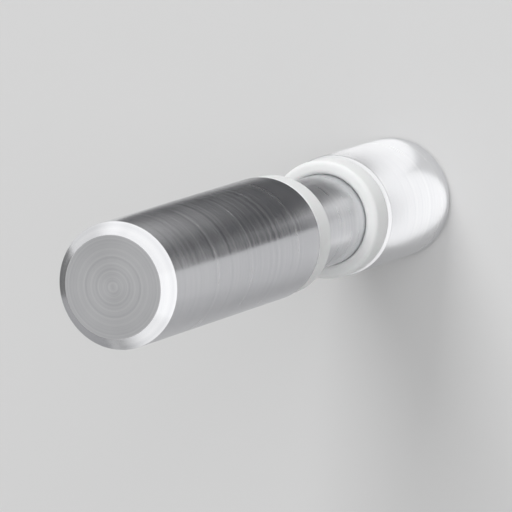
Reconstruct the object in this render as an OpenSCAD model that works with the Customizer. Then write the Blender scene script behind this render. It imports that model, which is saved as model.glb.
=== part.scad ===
// Wine bottle wall peg: a turned rod that stands out of a wall, for a bottle to lie on.
// The wall is the plane y = 0, the peg reaches towards -Y, and the wall screw towards +Y.
// All sizes are in millimetres.

/* [Peg] */
// How far the peg stands out of the wall.
peg_length = 70; // [60:1:110]
// Diameter of the front and rear barrels.
peg_d = 12.7; // [11.6:0.1:16]
// Width of the bright chamfer around the nose, the same along and across.
nose_chamfer = 1.2; // [0.4:0.1:2]
// Length of the rear barrel, from the wall to its shoulder.
rear_barrel_length = 16; // [10:0.5:24]
// Length of the waist between the two shoulders, rings included.
waist_length = 18; // [12:0.5:24]
// Diameter of the waist.
waist_d = 9.5; // [8.4:0.1:10.4]
// Small broken edge on the shoulders and at the wall end.
edge_break = 0.3; // [0.1:0.05:0.5]

/* [Rings] */
// Width of each soft ring along the peg.
ring_width = 3.2; // [2:0.1:4.5]
// How far a ring stays below the barrel's surface.
ring_inset = 0.15; // [0:0.05:0.4]
// Rounding of a ring's two outer corners.
ring_rounding = 0.55; // [0.2:0.05:0.6]

/* [Wall screw] */
// Outer diameter of both threads and of the plain shank.
screw_d = 6; // [4.5:0.1:6.5]
// Length of the machine-threaded end, which is the depth of the peg's tapped hole.
machine_length = 14; // [8:0.5:18]
// Length of the plain shank between the two threads.
shank_length = 6; // [3:0.5:10]
// Length of the wood-threaded end, point included.
wood_length = 26; // [18:1:40]
// Distance from one turn of the wood thread to the next.
wood_pitch = 2.6; // [2:0.1:3.2]
// Height of the wood thread's ridge.
wood_ridge = 0.95; // [0.6:0.05:1.1]
// Length of the tapering point.
point_length = 7; // [5:0.5:9]
// Room between the machine thread and its hole, on the radius.
screw_clearance = 0.05; // [0.02:0.01:0.1]
// Bevel at the machine end of the screw.
screw_bevel = 0.6; // [0.3:0.1:0.8]
// Countersink at the mouth of the tapped hole.
mouth_bevel = 0.5; // [0.2:0.1:0.8]

/* [Hidden] */

ROUND = 96;
peg_r = peg_d / 2;
waist_r = waist_d / 2;
screw_r = screw_d / 2;
ring_r = peg_r - ring_inset;
hole_r = screw_r + screw_clearance;

// Places along the peg, measured from the wall towards the nose.
rear_shoulder = rear_barrel_length;
front_shoulder = rear_barrel_length + waist_length;

// The drill's point beyond the bottom of the tapped hole.
drill_r = screw_r - screw_bevel - 0.4;
drill_depth = drill_r * 0.6;

// The wood thread: a helical strip that closes on itself one pitch further on.
thread_steps = 24;
core_r = screw_r - wood_ridge;
tip_r = 0.2;
// Height that is left of the ridge at the point, as a share, and the turns that it fades over.
tip_share = 0.25;
fade_turns = 0.6;
tip_place = shank_length + wood_length;
thread_end = tip_place - 0.2 * wood_pitch;
// Whole turns, enough that the first one starts inside the shank.
thread_turns = floor(wood_length / wood_pitch + 0.9);
thread_rows = thread_turns * thread_steps;
thread_start = thread_end - (thread_turns + 1) * wood_pitch;
run_in = shank_length - thread_start;
// Cone that leads from the shank down to the wood thread, and ends a little inside its core.
cone_bite = 0.15;
cone_r = core_r - cone_bite;
shank_cone = screw_r - cone_r;
// Across one pitch: how far along, as a share of the pitch, and whether it is the crest.
strip = [[0, 0], [0.56, 0], [0.75, 1], [0.81, 1]];
strip_points = len(strip);

color_metal = [0.80, 0.80, 0.82];
color_ring = [0.86, 0.90, 0.88, 0.7];
color_screw = [0.72, 0.73, 0.74];

// Turned half-profile: x is the radius, y the distance from the wall.
function peg_profile() = [
    [0, 0],
    [peg_r - edge_break, 0],
    [peg_r, edge_break],
    [peg_r, rear_shoulder - edge_break],
    [peg_r - edge_break, rear_shoulder],
    [waist_r, rear_shoulder],
    [waist_r, front_shoulder],
    [peg_r - edge_break, front_shoulder],
    [peg_r, front_shoulder + edge_break],
    [peg_r, peg_length - nose_chamfer],
    [peg_r - nose_chamfer, peg_length],
    [0, peg_length]
];

// Stands a solid that was made along +Z out of the wall, towards -Y.
module out_of_wall() {
    rotate([90, 0, 0]) children();
}

// Lays a solid that was made along +Z into the wall, towards +Y.
module into_wall() {
    rotate([-90, 0, 0]) children();
}

module peg() {
    color(color_metal)
    out_of_wall()
    difference() {
        rotate_extrude($fn = ROUND) polygon(peg_profile());
        // Tapped hole, drawn as the thread's outer cylinder.
        translate([0, 0, -1]) cylinder(r = hole_r, h = machine_length + 1, $fn = ROUND);
        // Countersink at its mouth.
        translate([0, 0, -mouth_bevel])
        cylinder(r1 = hole_r + 2 * mouth_bevel, r2 = hole_r, h = 2 * mouth_bevel, $fn = ROUND);
        // The drill's point.
        translate([0, 0, machine_length - 0.01])
        cylinder(r1 = drill_r, r2 = 0.1, h = drill_depth, $fn = ROUND);
    }
}

// One soft ring, seated at z = 0 and reaching up, with rounded outer corners.
module soft_ring() {
    rotate_extrude($fn = ROUND)
    union() {
        translate([waist_r, 0]) square([ring_r - ring_rounding - waist_r, ring_width]);
        translate([waist_r, ring_rounding]) square([ring_r - waist_r, ring_width - 2 * ring_rounding]);
        translate([ring_r - ring_rounding, ring_rounding]) circle(r = ring_rounding, $fn = 32);
        translate([ring_r - ring_rounding, ring_width - ring_rounding]) circle(r = ring_rounding, $fn = 32);
    }
}

module ring_front() {
    color(color_ring)
    out_of_wall()
    translate([0, 0, front_shoulder - ring_width])
    soft_ring();
}

module ring_rear() {
    color(color_ring)
    out_of_wall()
    translate([0, 0, rear_shoulder])
    soft_ring();
}

// Turned half-profile of the screw's blank: x is the radius, y the distance into the wall.
// Its machine-threaded end, inside the peg, is drawn as the thread's outer cylinder.
function blank_profile() = [
    [0, -machine_length],
    [screw_r - screw_bevel, -machine_length],
    [screw_r, screw_bevel - machine_length],
    [screw_r, shank_length],
    [cone_r, shank_length + shank_cone],
    [0, shank_length + shank_cone]
];

// Core and crest radius at a distance s into the wall: the ridge grows out of the shank,
// and both run down to the point.
function taper(s) = min(1, max(0, (thread_end - s) / point_length));
function ridge_share(s) = min(1, max(0, (s - thread_start) / (2 * run_in)));
function core_at(s) = tip_r + (core_r - tip_r) * taper(s);
function ridge_at(s) = wood_ridge * ridge_share(s) * (tip_share + (1 - tip_share) * taper(s));
// The ridge fades away over the last part of a turn, so that the end is a bare point.
function fade(row) = min(1, (thread_rows - row) / (fade_turns * thread_steps));

function strip_point(row, k) =
    let(
        s = thread_start + wood_pitch * (row / thread_steps + strip[k][0]),
        r = core_at(s) + strip[k][1] * ridge_at(s) * fade(row),
        a = 360 * row / thread_steps
    )
    [r * cos(a), r * sin(a), s];

// A point of the strip by row and place, where the place after the last is the next turn's
// first. The rows of the last turn hold that first place only.
function first_place(row) =
    row <= thread_rows
        ? row * strip_points
        : (thread_rows + 1) * strip_points + row - thread_rows - 1;
function strip_index(row, k) =
    k < strip_points ? first_place(row) + k : first_place(row + thread_steps);

module wood_thread() {
    body_points = concat(
        [for (row = [0 : thread_rows]) for (k = [0 : strip_points - 1]) strip_point(row, k)],
        [for (row = [thread_rows + 1 : thread_rows + thread_steps]) strip_point(row, 0)]
    );
    first_centre = len(body_points);
    last_centre = first_centre + 1;
    all_points = concat(
        body_points,
        [[0, 0, thread_start], [0, 0, tip_place]]
    );
    sides = [
        for (row = [0 : thread_rows - 1]) for (k = [0 : strip_points - 1])
        for (half = [0, 1])
        half == 0
            ? [strip_index(row, k), strip_index(row, k + 1), strip_index(row + 1, k)]
            : [strip_index(row + 1, k), strip_index(row, k + 1), strip_index(row + 1, k + 1)]
    ];
    first_cap = concat(
        [for (row = [0 : thread_steps - 1]) [first_centre, strip_index(row, 0), strip_index(row + 1, 0)]],
        [for (k = [strip_points - 1 : -1 : 0]) [first_centre, strip_index(0, k + 1), strip_index(0, k)]]
    );
    last_cap = concat(
        [
            for (row = [thread_rows : thread_rows + thread_steps - 1])
            [last_centre, strip_index(row + 1, 0), strip_index(row, 0)]
        ],
        [for (k = [0 : strip_points - 1]) [last_centre, strip_index(thread_rows, k), strip_index(thread_rows, k + 1)]]
    );
    polyhedron(points = all_points, faces = concat(sides, first_cap, last_cap), convexity = 10);
}

module wall_screw() {
    color(color_screw)
    into_wall()
    union() {
        rotate_extrude($fn = ROUND) polygon(blank_profile());
        wood_thread();
    }
}

peg();
ring_front();
ring_rear();
wall_screw();
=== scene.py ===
import math

import bpy
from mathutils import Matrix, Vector


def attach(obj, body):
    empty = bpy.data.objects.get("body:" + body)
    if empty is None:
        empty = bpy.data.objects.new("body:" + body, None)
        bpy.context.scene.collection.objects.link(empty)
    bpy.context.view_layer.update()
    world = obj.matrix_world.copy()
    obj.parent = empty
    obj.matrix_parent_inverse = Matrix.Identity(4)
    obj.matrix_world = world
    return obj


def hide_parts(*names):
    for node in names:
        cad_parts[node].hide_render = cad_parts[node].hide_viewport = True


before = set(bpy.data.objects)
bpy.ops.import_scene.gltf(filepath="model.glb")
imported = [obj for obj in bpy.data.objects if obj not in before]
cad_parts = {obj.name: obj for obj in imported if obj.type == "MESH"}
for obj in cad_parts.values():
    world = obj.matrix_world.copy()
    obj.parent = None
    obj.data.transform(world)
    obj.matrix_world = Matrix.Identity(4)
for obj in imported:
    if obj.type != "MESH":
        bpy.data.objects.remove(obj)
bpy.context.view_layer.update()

MM = 0.001


# ---------------------------------------------------------------------------
# The peg. One length of half inch aluminium bar, turned in a lathe: a faced
# nose with a bright cut chamfer, a long front barrel, a thinner waist, a short
# rear barrel, and a tapped hole in the end that stands on the wall.

peg_length = 70 * MM
peg_radius = 6.35 * MM
nose_chamfer = 1.2 * MM
rear_shoulder = 16 * MM
front_shoulder = 34 * MM
waist_radius = 4.75 * MM
broken_edge = 0.3 * MM
hole_radius = 3.05 * MM
hole_depth = 14 * MM
countersink = 0.5 * MM
drill_radius = 2.0 * MM
drill_depth = 1.2 * MM


def turned_profile(corners, tool_radius, arc_steps=5, most_of_side=0.45):
    """Corners as (radius, distance from the wall), each rounded off: points with their normals.
    A rounding takes no more than most_of_side of the sides that meet there."""
    points = []
    last = len(corners) - 1
    for i, corner in enumerate(corners):
        here = Vector(corner)
        if i in (0, last):
            run = Vector(corners[1]) - here if i == 0 else here - Vector(corners[last - 1])
            run.normalize()
            points.append((here, Vector((-run.y, run.x))))
            continue
        before, after = Vector(corners[i - 1]), Vector(corners[i + 1])
        run_in, run_out = (here - before).normalized(), (after - here).normalized()
        turn = run_in.angle(run_out)
        reach = min(
            tool_radius * math.tan(turn / 2),
            most_of_side * (here - before).length,
            most_of_side * (after - here).length,
        )
        for step in range(arc_steps + 1):
            share = step / arc_steps
            place = here - run_in * reach * (1 - share) ** 2 + run_out * reach * share ** 2
            run = (run_in * (1 - share) + run_out * share).normalized()
            points.append((place, Vector((-run.y, run.x))))
    return points


def stand_on_wall(name, mesh):
    """An object whose mesh was made along +Z, laid so that +Z points out of the wall."""
    piece = bpy.data.objects.new(name, mesh)
    bpy.context.scene.collection.objects.link(piece)
    piece.rotation_euler = (math.pi / 2, 0, 0)
    return piece


def turn_piece(name, points, steps=192, closed=False):
    """Spins a profile of points and normals round the peg's axis into a mesh object. Its map
    runs round the bar one way and along the profile the other, as the tool marks do."""
    places, normals, faces, mapped, rows = [], [], [], [], []
    for place, normal in points:
        # On the axis a whole row is one point.
        if place.x < 1e-9:
            rows.append([len(places)] * steps)
            places.append((0, 0, place.y))
            normals.append((0, 0, math.copysign(1, normal.y)))
            continue
        rows.append(range(len(places), len(places) + steps))
        for step in range(steps):
            angle = 2 * math.pi * step / steps
            places.append((place.x * math.cos(angle), place.x * math.sin(angle), place.y))
            normals.append((normal.x * math.cos(angle), normal.x * math.sin(angle), normal.y))
    if closed:
        rows.append(rows[0])
        points = points + points[:1]
    along = [0]
    for (place, _), (after, _) in zip(points, points[1:]):
        along.append(along[-1] + (after - place).length)
    for row in range(len(rows) - 1):
        near, far = rows[row], rows[row + 1]
        low, high = along[row] / along[-1], along[row + 1] / along[-1]
        for step in range(steps):
            after = (step + 1) % steps
            left, right = step / steps, (step + 1) / steps
            corners = {
                near[step]: (left, low),
                far[step]: (left, high),
                far[after]: (right, high),
                near[after]: (right, low),
            }
            faces.append(tuple(corners))
            for spot in corners.values():
                mapped.extend(spot)
    mesh = bpy.data.meshes.new(name)
    mesh.from_pydata(places, [], faces)
    mesh.uv_layers.new(name="OFBake").uv.foreach_set("vector", mapped)
    mesh.shade_smooth()
    mesh.normals_split_custom_set_from_vertices(normals)
    return stand_on_wall(name, mesh)


class Shade:
    """A number or colour that varies over a surface. Sums with it add the finish's Math nodes."""

    def __init__(self, finish, socket):
        self.finish = finish
        self.socket = socket

    def output(self, name):
        """Another output of the node that this one comes from."""
        return Shade(self.finish, self.socket.node.outputs[name])

    def reckon(self, operation, first, second):
        return self.finish.add("ShaderNodeMath", {"operation": operation}, {0: first, 1: second})

    def __add__(self, other):
        return self.reckon("ADD", self, other)

    def __radd__(self, other):
        return self.reckon("ADD", other, self)

    def __sub__(self, other):
        return self.reckon("SUBTRACT", self, other)

    def __rsub__(self, other):
        return self.reckon("SUBTRACT", other, self)

    def __mul__(self, other):
        return self.reckon("MULTIPLY", self, other)

    def __rmul__(self, other):
        return self.reckon("MULTIPLY", other, self)

    def __or__(self, other):
        """The larger of two, for masks."""
        return self.reckon("MAXIMUM", self, other)

    def __and__(self, other):
        """The smaller of two, for limits."""
        return self.reckon("MINIMUM", self, other)


class Finish:
    """A material or the world, with its shader and one way to add any other node."""

    def __init__(self, name, kept_in=bpy.data.materials, shader="Principled BSDF"):
        self.owner = kept_in.new(name)
        self.owner.use_nodes = True
        self.tree = self.owner.node_tree
        self.shader = self.tree.nodes[shader]

    def plug(self, socket, value):
        if isinstance(value, Shade):
            self.tree.links.new(value.socket, socket)
        elif isinstance(value, (tuple, list)) and socket.type == "RGBA":
            socket.default_value = (*value, 1)
        else:
            socket.default_value = value

    def add(self, kind, settings=None, sockets=None, output=0):
        """Adds a node: its settings first, then the values or links of its sockets."""
        node = self.tree.nodes.new(kind)
        for name, value in (settings or {}).items():
            setattr(node, name, value)
        for name, value in (sockets or {}).items():
            self.plug(node.inputs[name], value)
        return Shade(self, node.outputs[output])

    def mix(self, share, first, second):
        """A colour between two, by a share from 0 to 1."""
        sockets = {0: share, 6: first, 7: second}
        return self.add("ShaderNodeMix", {"data_type": "RGBA"}, sockets, output=2)

    def noise(self, place, per_metre, detail=2.0, roughness=0.5):
        """Noise from 0 to 1 over a place, with so many features a metre along each axis."""
        spread = self.add(
            "ShaderNodeVectorMath", {"operation": "MULTIPLY"}, {0: place, 1: per_metre}
        )
        sockets = {"Vector": spread, "Scale": 1.0, "Detail": detail, "Roughness": roughness}
        return self.add("ShaderNodeTexNoise", {"noise_dimensions": "3D"}, sockets)

    def ramp(self, value, low, high):
        """0 below low, 1 above high, and smooth between."""
        sockets = {"Value": value, "From Min": low, "From Max": high}
        return self.add("ShaderNodeMapRange", {"interpolation_type": "SMOOTHSTEP"}, sockets)

    def off_axis(self, place):
        """How far a place is from the peg's axis."""
        across = self.add(
            "ShaderNodeVectorMath", {"operation": "MULTIPLY"}, {0: place, 1: (1, 1, 0)}
        )
        return self.add(
            "ShaderNodeVectorMath", {"operation": "LENGTH"}, {0: across}, output="Value"
        )

    def feed(self, **sockets):
        """Sets or links the shader's sockets, named with _ for a space."""
        for name, value in sockets.items():
            self.plug(self.shader.inputs[name.replace("_", " ")], value)

    def dress(self, *pieces):
        for piece in pieces:
            piece.data.materials.clear()
            piece.data.materials.append(self.owner)


peg = turn_piece(
    "turned_peg",
    turned_profile(
        [
            (0, peg_length),
            (peg_radius - nose_chamfer, peg_length),
            (peg_radius, peg_length - nose_chamfer),
            (peg_radius, front_shoulder + broken_edge),
            (peg_radius - broken_edge, front_shoulder),
            (waist_radius, front_shoulder),
            (waist_radius, rear_shoulder),
            (peg_radius - broken_edge, rear_shoulder),
            (peg_radius, rear_shoulder - broken_edge),
            (peg_radius, broken_edge),
            (peg_radius - broken_edge, 0),
            (hole_radius + countersink, 0),
            (hole_radius, countersink),
            (hole_radius, hole_depth),
            (drill_radius, hole_depth),
            (0, hole_depth + drill_depth),
        ],
        tool_radius=0.1 * MM,
    ),
    steps=256,
)

chamfer_start = peg_length - nose_chamfer
furrow_grey = (0.725, 0.731, 0.753)
crest_bright = (0.870, 0.872, 0.882)

bar = Finish("satin_turned_aluminium")
place = bar.add("ShaderNodeTexCoord", output="Object")
from_wall = bar.add("ShaderNodeSeparateXYZ", None, {"Vector": place}, output="Z")
off_axis = bar.off_axis(place)
on_nose = bar.ramp(from_wall, peg_length - 0.06 * MM, peg_length - 0.015 * MM)
past_chamfer = bar.ramp(from_wall, chamfer_start - 0.05 * MM, chamfer_start + 0.02 * MM)
on_chamfer = past_chamfer * (1 - on_nose)
on_barrel = bar.ramp(off_axis, peg_radius - 0.12 * MM, peg_radius - 0.03 * MM)

# The lathe tool leaves fine rings round the bar, and others round the centre of the nose.
bar_rings = bar.noise(place, (4, 4, 1500), detail=1.5, roughness=0.5)
face_place = bar.add("ShaderNodeCombineXYZ", None, {"X": off_axis})
face_rings = bar.noise(face_place, (3600, 0, 0), detail=1.5, roughness=0.5)
rings = bar.ramp(bar_rings * (1 - on_nose) + face_rings * on_nose, 0.25, 0.75)
smudges = bar.noise(place, (260, 260, 200), detail=4, roughness=0.6)

bar.feed(
    Base_Color=bar.mix(smudges * 0.3 + rings * 0.7, furrow_grey, crest_bright),
    Metallic=1.0,
    Roughness=0.30
    - on_barrel * 0.06
    + on_nose * 0.12
    - on_chamfer * 0.17
    + (rings - 0.5) * 0.07
    + (smudges - 0.5) * 0.08,
    Anisotropic=0.5,
    Anisotropic_Rotation=0.25,
    Normal=bar.add(
        "ShaderNodeBump",
        None,
        {"Strength": 1.0, "Distance": 0.002 * MM, "Height": rings * (1 - on_chamfer * 0.7)},
    ),
)
bar.dress(peg)
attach(peg, "root")
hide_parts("peg")


# ---------------------------------------------------------------------------
# The two soft rings. Clear silicone with a faint milky tint, moulded with
# rounded outer corners, and stretched over the barrels onto the waist, where
# each lies against a shoulder.

ring_width = 3.2 * MM
ring_radius = 6.2 * MM
ring_rounding = 0.55 * MM
ring_room = 0.01 * MM
clear_tint = (0.92, 0.955, 0.95)
milky_tint = (0.97, 0.985, 0.98)

silicone = Finish("clear_milky_silicone")
place = silicone.add("ShaderNodeTexCoord", output="Object")
clouds = silicone.noise(place, (420, 420, 420), detail=3)
skin = silicone.noise(place, (2600, 2600, 2600), detail=2)
silicone.feed(
    Base_Color=silicone.mix(clouds, clear_tint, milky_tint),
    Roughness=0.42 + skin * 0.12,
    IOR=1.41,
    Transmission_Weight=0.15,
    Subsurface_Weight=0.6,
    Subsurface_Radius=(1.0, 1.1, 1.05),
    Subsurface_Scale=MM,
    Normal=silicone.add(
        "ShaderNodeBump", None, {"Strength": 0.25, "Distance": 0.02 * MM, "Height": skin}
    ),
)


def soft_ring(name, node, start):
    """A ring whose face nearer the wall is at start."""
    near, far = start + ring_room, start + ring_width - ring_room
    middle = (near + far) / 2
    corners = [
        (waist_radius + ring_room, middle),
        (waist_radius + ring_room, far),
        (ring_radius, far),
        (ring_radius, near),
        (waist_radius + ring_room, near),
        (waist_radius + ring_room, middle),
    ]
    points = turned_profile(corners, ring_rounding, arc_steps=8)[:-1]
    ring = turn_piece(name, points, closed=True)
    silicone.dress(ring)
    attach(ring, "root")
    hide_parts(node)


soft_ring("front_ring", "ring_front", front_shoulder - ring_width)
soft_ring("rear_ring", "ring_rear", rear_shoulder)


# ---------------------------------------------------------------------------
# The wall screw. A zinc plated steel hanger bolt: a machine thread that is
# screwed into the peg to the bottom of its hole, a short plain shank, and a
# wood thread that runs down to a point in the wall.

screw_radius = 3.0 * MM
shank_length = 6 * MM
wood_length = 26 * MM
wood_pitch = 2.6 * MM
wood_ridge = 0.95 * MM
point_length = 7 * MM
tip_radius = 0.2 * MM
tip_share = 0.25
fade_turns = 0.6
bare_tip = 0.2 * wood_pitch
machine_pitch = 1.0 * MM
machine_ridge = 0.55 * MM
machine_turns = 11
machine_run_up = 0.2
machine_run_out = 1.2
machine_lead_in = 0.9 * MM
machine_tip = -0.5 * MM
screw_bevel = 0.6 * MM
core_radius = screw_radius - wood_ridge
crease = math.radians(12)

# Inside the peg's mouth the machine end's core stops, and the full shank starts.
core_stop = 0.9 * MM
shank_start = 0.4 * MM
# How far the blank stays inside the threads that are fused onto it.
machine_bite = 0.02 * MM
wood_bite = 0.1 * MM


def thread_mesh(name, start, turns, pitch, section, radius_at, tip, steps=64):
    """A helical strip that closes on itself one pitch on, from start into the wall, with a tip.
    section holds (share of the pitch, share of the ridge), and radius_at(into, ridge share, turn)
    gives the radius at a distance into the wall."""
    places, faces = [], []
    count, rows = len(section), turns * steps

    def add_place(row, part):
        angle = 2 * math.pi * row / steps
        into = start + pitch * (row / steps + section[part][0])
        radius = radius_at(into, section[part][1], row / steps)
        places.append((radius * math.cos(angle), -radius * math.sin(angle), -into))

    for row in range(rows + 1):
        for part in range(count):
            add_place(row, part)
    for row in range(rows + 1, rows + steps + 1):
        add_place(row, 0)

    def index(row, part):
        if part == count:
            row, part = row + steps, 0
        return row * count + part if row <= rows else (rows + 1) * count + row - rows - 1

    first, last = len(places), len(places) + 1
    places += [(0, 0, -start), (0, 0, -tip)]
    for row in range(rows):
        for part in range(count):
            faces.append(
                (
                    index(row, part),
                    index(row + 1, part),
                    index(row + 1, part + 1),
                    index(row, part + 1),
                )
            )
    for row in range(steps):
        faces.append((first, index(row + 1, 0), index(row, 0)))
        faces.append((last, index(rows + row, 0), index(rows + row + 1, 0)))
    for part in range(count):
        faces.append((first, index(0, part), index(0, part + 1)))
        faces.append((last, index(rows, part + 1), index(rows, part)))
    mesh = bpy.data.meshes.new(name)
    mesh.from_pydata(places, [], faces)
    return stand_on_wall(name, mesh)


thread_end = shank_length + wood_length - bare_tip
# Whole turns, enough that the first one starts inside the shank.
wood_turns = math.floor(wood_length / wood_pitch + 0.9)
thread_start = thread_end - (wood_turns + 1) * wood_pitch
run_in = shank_length - thread_start


def wood_radius(into, crest, turn):
    """The ridge grows out of the shank, and core and ridge run down to the point."""
    taper = min(1, max(0, (thread_end - into) / point_length))
    growth = min(1, max(0, (into - thread_start) / (2 * run_in)))
    fade = min(1, max(0, wood_turns - turn) / fade_turns)
    ridge = wood_ridge * growth * (tip_share + (1 - tip_share) * taper) * fade
    return tip_radius + (core_radius - tip_radius) * taper + crest * ridge


def machine_radius(into, crest, turn):
    """The ridge starts and ends within about a turn."""
    fade = max(0, min(1, turn + machine_run_up, (machine_turns - turn) / machine_run_out))
    return screw_radius - machine_ridge * (1 - crest * fade)


wood_section = [
    (0.00, 0.03), (0.03, 0.0), (0.53, 0.0), (0.56, 0.03), (0.58, 0.10), (0.66, 0.52),
    (0.745, 0.97), (0.755, 1.0), (0.805, 1.0), (0.815, 0.97), (0.90, 0.52), (0.98, 0.10),
]
machine_section = [(0.0, 0.0), (0.12, 0.0), (0.5, 1.0), (0.62, 1.0)]
blank_core = screw_radius - machine_ridge - machine_bite
screw = turn_piece(
    "hanger_bolt",
    turned_profile(
        [
            (0, hole_depth),
            (blank_core - screw_bevel, hole_depth),
            (blank_core, hole_depth - screw_bevel),
            (blank_core, core_stop),
            (screw_radius, shank_start),
            (screw_radius, -shank_length),
            (core_radius - wood_bite, -shank_length - wood_ridge - wood_bite),
            (0, -shank_length - wood_ridge - wood_bite),
        ],
        tool_radius=0.08 * MM,
        arc_steps=3,
    ),
    steps=128,
)
threads = [
    thread_mesh(
        "wood_thread",
        thread_start,
        wood_turns,
        wood_pitch,
        wood_section,
        wood_radius,
        tip=shank_length + wood_length,
    ),
    thread_mesh(
        "machine_thread",
        machine_lead_in - hole_depth,
        machine_turns,
        machine_pitch,
        machine_section,
        machine_radius,
        tip=machine_tip,
    ),
]


def settle(piece):
    """Replaces a piece's mesh with what its modifiers make of it."""
    bpy.context.view_layer.update()
    shaped = piece.evaluated_get(bpy.context.evaluated_depsgraph_get())
    piece.data = bpy.data.meshes.new_from_object(shaped)
    piece.modifiers.clear()


def fuse(piece, others):
    """Joins closed meshes into one skin, and leaves nothing of the others."""
    for other in others:
        joint = piece.modifiers.new(other.name, "BOOLEAN")
        joint.operation, joint.solver, joint.object = "UNION", "MANIFOLD", other
    settle(piece)
    for other in others:
        bpy.data.objects.remove(other)
    piece.data.uv_layers.remove(piece.data.uv_layers["OFBake"])
    # Creases stay sharp, and between them the large faces lead the shading.
    piece.data.shade_smooth()
    piece.data.set_sharp_from_angle(angle=crease)
    evened = piece.modifiers.new("evened", "WEIGHTED_NORMAL")
    evened.keep_sharp, evened.weight = True, 100
    settle(piece)


fuse(screw, threads)

bright_zinc = (0.800, 0.812, 0.835)
dull_zinc = (0.560, 0.562, 0.555)

plate = Finish("bright_zinc_plate")
place = plate.add("ShaderNodeTexCoord", output="Object")
blotches = plate.noise(place, (500, 500, 380), detail=4, roughness=0.6)
grain = plate.noise(place, (5200, 5200, 5200), detail=2)
in_root = 1 - plate.ramp(plate.off_axis(place), core_radius, screw_radius - 0.05 * MM)
plate.feed(
    Base_Color=plate.mix(blotches * 0.6 + in_root * 0.4, bright_zinc, dull_zinc),
    Metallic=1.0,
    Roughness=0.20 + in_root * 0.10 + (blotches - 0.5) * 0.16,
    Normal=plate.add(
        "ShaderNodeBump", None, {"Strength": 0.3, "Distance": 0.01 * MM, "Height": grain}
    ),
)
plate.dress(screw)
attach(screw, "root")
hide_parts("wall_screw")


# ---------------------------------------------------------------------------
# The studio. A plain pale wall with a hole for the screw, open from behind so
# that the screw shows there, soft boxes, a pale surround, and dark, grey and
# white cards close to the wall, which only the mirror of the metal shows: they
# are painted reflections and painted shade in the metal.

wall_reach_across = 240 * MM
wall_reach_up = 550 * MM
wall_hole = 6.07 * MM
hole_steps = 96


def stage_mesh(name, places, faces):
    mesh = bpy.data.meshes.new(name)
    mesh.from_pydata(places, [], faces)
    thing = bpy.data.objects.new(name, mesh)
    bpy.context.scene.collection.objects.link(thing)
    return thing


def wall_with_hole():
    """An upright wall round the hole, whose front looks out along the peg."""
    places, faces = [], []
    for step in range(hole_steps):
        angle = 2 * math.pi * step / hole_steps
        across, up = math.cos(angle), math.sin(angle)
        corner = 1 / max(abs(across) / wall_reach_across, abs(up) / wall_reach_up)
        places.append((wall_hole * across, 0, wall_hole * up))
        places.append((corner * across, 0, corner * up))
        after = (step + 1) % hole_steps
        faces.append((2 * step, 2 * step + 1, 2 * after + 1, 2 * after))
    return stage_mesh("wall", places, faces)


paint = Finish("pale_wall_paint")
paint.feed(Base_Color=(0.69, 0.69, 0.69), Roughness=0.9, Specular_IOR_Level=0.1)
behind = paint.add("ShaderNodeNewGeometry", output="Backfacing")
see_through = paint.add("ShaderNodeBsdfTransparent")
paint.plug(
    paint.tree.nodes["Material Output"].inputs["Surface"],
    paint.add(
        "ShaderNodeMixShader",
        None,
        {0: behind, 1: Shade(paint, paint.shader.outputs[0]), 2: see_through},
    ),
)
paint.dress(wall_with_hole())

card_gap = 0.5 * MM
painted_shade_grey = (0.57, 0.57, 0.58)
painted_glow_white = (0.6, 0.6, 0.6)
painted_glow_strength = 0.95


def upright(left, right, low, high):
    """The corners of a rectangle, in millimetres across and up from the peg's axis."""
    return [(left, low), (right, low), (right, high), (left, high)]


def mirrored_card(name, corners, shade, strength=0.0):
    """An upright card close to the wall, a painted reflection that nothing but the metal's mirror
    shows.
    """
    places = [(across * MM, -card_gap, up * MM) for across, up in corners]
    card = stage_mesh(name, places, [tuple(range(len(corners)))])
    card.visible_camera = False
    card.visible_diffuse = False
    card.visible_shadow = False
    card.visible_transmission = False
    cloth = Finish(name)
    cloth.feed(
        Base_Color=shade, Roughness=1.0, Emission_Color=shade, Emission_Strength=strength
    )
    cloth.dress(card)


# The dark and dusk cards are a painted dark reflection along the top of the front barrel. The
# dark card ends in a slanting edge, and the pale card fits below it.
slant = [(20, 5), (31, 5.5), (42, 11)]
mirrored_card(
    "dark_card", [(-34, 13), (20, 13), *slant, (42, 31), (-34, 31)], (0.05, 0.05, 0.055)
)
mirrored_card("dusk_card", upright(-34, 42, 31, 42), (0.13, 0.13, 0.135))
# The pale, grey and low cards are painted shade in the mirrored wall, seen on the waist and the
# lower sides of the barrels.
mirrored_card(
    "pale_card",
    [(14, -12), (46, -12), (46, 11), *reversed(slant), (20, 13), (14, 13)],
    painted_shade_grey,
)
mirrored_card("grey_card", upright(-32, 46, -24, -12), painted_shade_grey)
mirrored_card("low_card", upright(-32, 46, -46, -24), (0.50, 0.50, 0.51))
# The side cards are painted dark and grey reflections in the left and lower sides of the nose's
# chamfer.
mirrored_card("side_card", upright(-235, -85, -40, 55), (0.19, 0.19, 0.19))
mirrored_card("low_side_card", upright(-235, -60, -300, -40), (0.42, 0.42, 0.43))
# The white cards glow, though they are no lamps: a painted bright reflection on the rear barrel.
mirrored_card("white_card", upright(-8, 14, 6.6, 13), painted_glow_white, painted_glow_strength)
mirrored_card("white_side_card", upright(6.6, 14, -10, 6.6), painted_glow_white, painted_glow_strength)


def soft_box(name, place, width, height, watts, target=(0, -0.04, 0)):
    """A lamp that faces the peg and doesn't show in its mirror."""
    lamp = bpy.data.lights.new(name, "AREA")
    lamp.shape = "RECTANGLE"
    lamp.size, lamp.size_y = width, height
    lamp.energy = watts
    box = bpy.data.objects.new(name, lamp)
    bpy.context.scene.collection.objects.link(box)
    box.location = place
    box.rotation_euler = (Vector(target) - Vector(place)).to_track_quat("-Z", "Y").to_euler()
    box.visible_camera = False
    box.visible_glossy = False


soft_box("top_box", (-0.20, -0.75, 1.10), 0.7, 0.7, 10)
soft_box("front_box", (0.60, -1.60, 0.55), 1.2, 1.2, 7)

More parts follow.
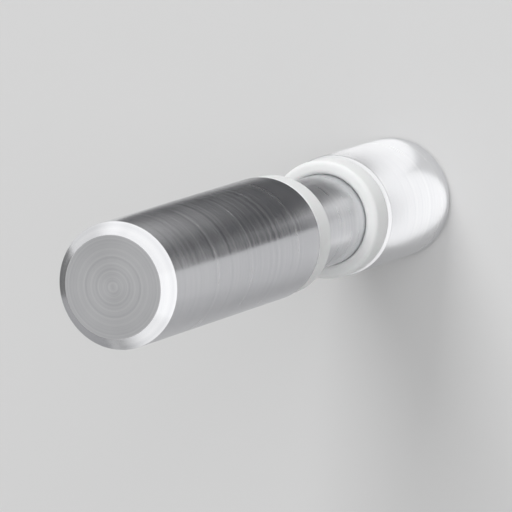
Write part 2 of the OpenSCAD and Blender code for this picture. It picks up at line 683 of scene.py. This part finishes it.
surround = Finish("studio_surround", bpy.data.worlds, "Background")
bpy.context.scene.world = surround.owner
looking = surround.add("ShaderNodeTexCoord", output="Generated")


def glow(towards, low, high):
    """1 where one looks towards the light, and 0 well away from it."""
    sockets = {0: looking, 1: Vector(towards).normalized()}
    facing = surround.add(
        "ShaderNodeVectorMath", {"operation": "DOT_PRODUCT"}, sockets, output="Value"
    )
    return surround.ramp(facing, low, high)


from_above = glow((0.65, -0.35, 0.67), -0.15, 0.75)
from_left = glow((-0.85, 0.05, 0.5), 0.6, 0.95)
from_below = glow((0.55, -0.3, -0.75), 0.35, 0.95)
from_behind = glow((0.2, 0.95, 0.25), 0.3, 1.0)
brightest = 1.18
backdrop_strength = 0.82
plain_strength = 0.5
lit = 0.32 + 0.80 * from_above + 0.5 * from_left + 0.7 * from_below + 0.4 * from_behind
mirrored = lit & brightest
rays = surround.add("ShaderNodeLightPath", output="Is Camera Ray")
seen = rays | rays.output("Is Transmission Ray")
glossy = rays.output("Is Glossy Ray")
surround.feed(
    Color=(1, 1, 1),
    Strength=seen * backdrop_strength
    + (1 - seen) * (glossy * mirrored + (1 - glossy) * plain_strength),
)


# ---------------------------------------------------------------------------
# The camera: to the right of the peg and a little above it, looking at the
# wall through a long lens, as in the photograph.

camera_azimuth = math.radians(24.2)
camera_height = math.radians(8.4)
camera_distance = 0.75
picture_width = 52 * MM
looked_at = Vector((0.0, -36.0, -1.5)) * MM

back = Vector(
    (
        math.sin(camera_azimuth) * math.cos(camera_height),
        -math.cos(camera_azimuth) * math.cos(camera_height),
        math.sin(camera_height),
    )
)
lens = bpy.data.cameras.new("camera")
lens.sensor_width = 36
lens.lens = lens.sensor_width * camera_distance / picture_width
lens.clip_start = 0.01
camera = bpy.data.objects.new("camera", lens)
bpy.context.scene.collection.objects.link(camera)
camera.location = looked_at + back * camera_distance
camera.rotation_euler = (-back).to_track_quat("-Z", "Y").to_euler()
bpy.context.scene.camera = camera
bpy.context.scene.view_settings.view_transform = "Standard"
